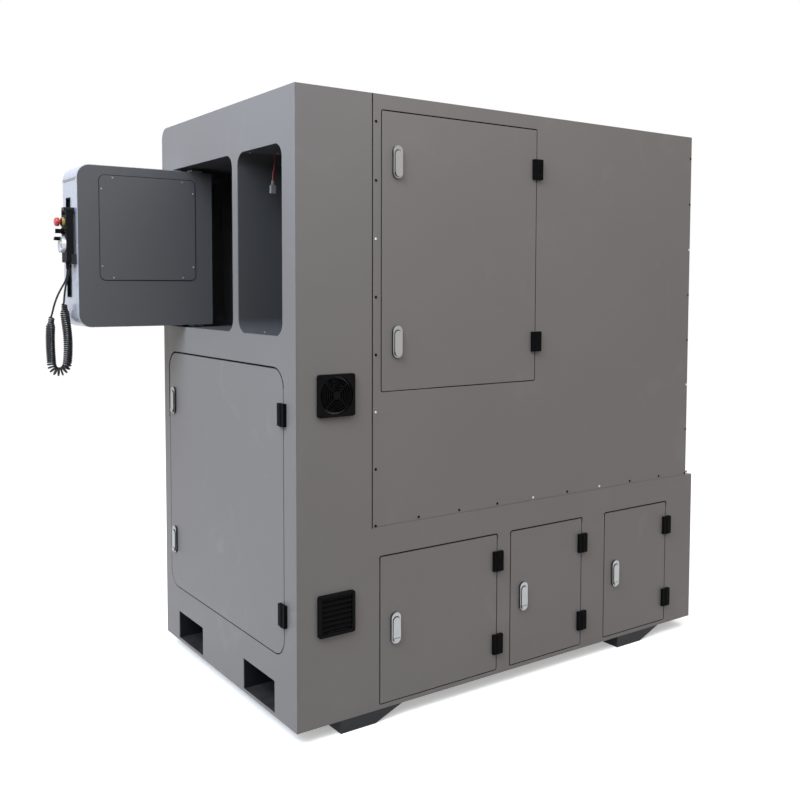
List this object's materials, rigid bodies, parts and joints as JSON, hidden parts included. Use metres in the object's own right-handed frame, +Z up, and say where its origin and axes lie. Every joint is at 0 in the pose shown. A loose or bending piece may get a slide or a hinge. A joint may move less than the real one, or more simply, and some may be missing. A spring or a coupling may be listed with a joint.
{
  "type": "cnc milling machine",
  "caption": "Enclosed compact milling machine with swivelling control box, hand pendant, hinged service doors, sliding work door, fork pockets and feet.",
  "frame": {"origin": "on the floor, at the centre of the four anchor holes in the feet", "axes": "+X towards the end with the control box, +Y towards the rear with the service doors, +Z up"},
  "size_m": [2.4377, 1.2, 2.104],
  "materials": {
    "grey_paint": "fine textured",
    "black_paint": "satin",
    "liner_paint": "satin",
    "box_paint": "fine textured",
    "silver_plate": "satin",
    "galvanised": "satin",
    "zinc": "polished",
    "steel": "ground",
    "casting": "painted",
    "black_plastic": "moulded",
    "grey_plastic": "moulded",
    "red_plastic": "gloss",
    "white_plastic": "moulded",
    "cord_black": "matte",
    "window": "clear"
  },
  "bodies": {
    "frame": {"base_plate": "black_paint", "fork_tubes": "black_paint", "end_wall": "grey_paint", "rear_wall": "grey_paint", "rear_panel": "grey_paint", "front_wall": "grey_paint", "far_wall": "grey_paint", "roof_panel": "grey_paint", "partition": "galvanised", "bay_liners": "liner_paint", "electrical_panel": "galvanised", "vent_guards": "black_plastic", "frame_hinges": "black_plastic", "box_pivots": "steel", "bed_casting": "casting", "column_casting": "casting", "coolant_tank": "galvanised", "bay_lead": "red_plastic", "lead_plug": "white_plastic"},
    "fan": {"fan_rotor": "black_plastic"},
    "work_door": {"front_door": "grey_paint", "front_window": "window"},
    "control_box": {"control_box": "box_paint", "control_cover": "box_paint", "control_panel": "black_plastic", "side_plate": "silver_plate", "recessed_pull": "black_plastic", "pendant_holder": "black_paint", "pendant_body": "grey_plastic", "pendant_coil": "cord_black", "pendant_leads": "cord_black"},
    "stop_button": {"pendant_stop": "red_plastic"},
    "selector": {"pendant_knob": "black_plastic"},
    "handwheel": {"handwheel": "silver_plate"},
    "saddle": {"saddle": "casting"},
    "table": {"table": "steel"},
    "head": {"spindle_head": "casting"},
    "spindle": {"spindle": "steel"},
    "service_door": {"service_door": "grey_paint", "service_hinges": "black_plastic", "service_latches": "zinc"},
    "service_lever_lower": {"service_lever_lower": "zinc"},
    "service_lever_upper": {"service_lever_upper": "zinc"},
    "end_door": {"end_door": "grey_paint", "end_hinges": "black_plastic", "end_latches": "zinc"},
    "end_lever_lower": {"end_lever_lower": "zinc"},
    "end_lever_upper": {"end_lever_upper": "zinc"},
    "base_door_1": {"base_door_1": "grey_paint", "base_hinges_1": "black_plastic", "base_latch_1": "zinc"},
    "base_lever_1": {"base_lever_1": "zinc"},
    "base_door_2": {"base_door_2": "grey_paint", "base_hinges_2": "black_plastic", "base_latch_2": "zinc"},
    "base_lever_2": {"base_lever_2": "zinc"},
    "base_door_3": {"base_door_3": "grey_paint", "base_hinges_3": "black_plastic", "base_latch_3": "zinc"},
    "base_lever_3": {"base_lever_3": "zinc"}
  },
  "joints": [
    {"name": "service_door_hinge", "type": "hinge", "parent": "frame", "child": "service_door", "pos_m": [-0.1185, 0.565, 1.5895], "axis": [0, 0, 1], "range_deg": [0, 110]},
    {"name": "service_lever_lower_pull", "type": "hinge", "parent": "service_door", "child": "service_lever_lower", "pos_m": [0.5095, 0.56, 1.3185], "axis": [1, 0, 0], "range_deg": [0, 25]},
    {"name": "service_lever_upper_pull", "type": "hinge", "parent": "service_door", "child": "service_lever_upper", "pos_m": [0.5095, 0.56, 1.9155], "axis": [1, 0, 0], "range_deg": [0, 25]},
    {"name": "end_door_hinge", "type": "hinge", "parent": "frame", "child": "end_door", "pos_m": [0.9015, 0.473, 0.736], "axis": [0, 0, 1], "range_deg": [0, 110]},
    {"name": "end_lever_lower_pull", "type": "hinge", "parent": "end_door", "child": "end_lever_lower", "pos_m": [0.8965, -0.453, 0.4815], "axis": [0, -1, 0], "range_deg": [0, 25]},
    {"name": "end_lever_upper_pull", "type": "hinge", "parent": "end_door", "child": "end_lever_upper", "pos_m": [0.8965, -0.453, 1.0455], "axis": [0, -1, 0], "range_deg": [0, 25]},
    {"name": "base_door_1_hinge", "type": "hinge", "parent": "frame", "child": "base_door_1", "pos_m": [0.0585, 0.565, 0.315], "axis": [0, 0, 1], "range_deg": [0, 110]},
    {"name": "base_lever_1_pull", "type": "hinge", "parent": "base_door_1", "child": "base_lever_1", "pos_m": [0.5135, 0.56, 0.3425], "axis": [1, 0, 0], "range_deg": [0, 25]},
    {"name": "base_door_2_hinge", "type": "hinge", "parent": "frame", "child": "base_door_2", "pos_m": [-0.3775, 0.565, 0.315], "axis": [0, 0, 1], "range_deg": [0, 110]},
    {"name": "base_lever_2_pull", "type": "hinge", "parent": "base_door_2", "child": "base_lever_2", "pos_m": [-0.0695, 0.56, 0.3425], "axis": [1, 0, 0], "range_deg": [0, 25]},
    {"name": "base_door_3_hinge", "type": "hinge", "parent": "frame", "child": "base_door_3", "pos_m": [-0.8775, 0.565, 0.315], "axis": [0, 0, 1], "range_deg": [0, 110]},
    {"name": "base_lever_3_pull", "type": "hinge", "parent": "base_door_3", "child": "base_lever_3", "pos_m": [-0.5695, 0.56, 0.3425], "axis": [1, 0, 0], "range_deg": [0, 25]},
    {"name": "work_door_slide", "type": "slide", "parent": "frame", "child": "work_door", "axis": [1, 0, 0], "range_m": [0, 0.69]},
    {"name": "control_box_swivel", "type": "hinge", "parent": "frame", "child": "control_box", "pos_m": [0.8135, -0.414, 1.6195], "axis": [0, 0, 1], "range_deg": [0, 60]},
    {"name": "stop_button_press", "type": "slide", "parent": "control_box", "child": "stop_button", "axis": [-1, 0, 0], "range_m": [0, 0.005], "stiffness_N_per_m": 600},
    {"name": "selector_turn", "type": "hinge", "parent": "control_box", "child": "selector", "pos_m": [1.3375, -0.374, 1.673], "axis": [1, 0, 0], "range_deg": [-60, 60]},
    {"name": "handwheel_turn", "type": "hinge", "parent": "control_box", "child": "handwheel", "pos_m": [1.3375, -0.374, 1.625], "axis": [1, 0, 0], "continuous": true},
    {"name": "fan_turn", "type": "hinge", "parent": "frame", "child": "fan", "pos_m": [0.7495, 0.554, 1.126], "axis": [0, 1, 0], "continuous": true},
    {"name": "saddle_slide", "type": "slide", "parent": "frame", "child": "saddle", "axis": [0, 1, 0], "range_m": [-0.11, 0.11]},
    {"name": "table_slide", "type": "slide", "parent": "saddle", "child": "table", "axis": [1, 0, 0], "range_m": [-0.2, 0.2]},
    {"name": "head_slide", "type": "slide", "parent": "frame", "child": "head", "axis": [0, 0, 1], "range_m": [-0.16, 0.06]},
    {"name": "spindle_turn", "type": "hinge", "parent": "head", "child": "spindle", "pos_m": [-0.197, -0.174, 1.349], "axis": [0, 0, 1], "continuous": true}
  ]
}
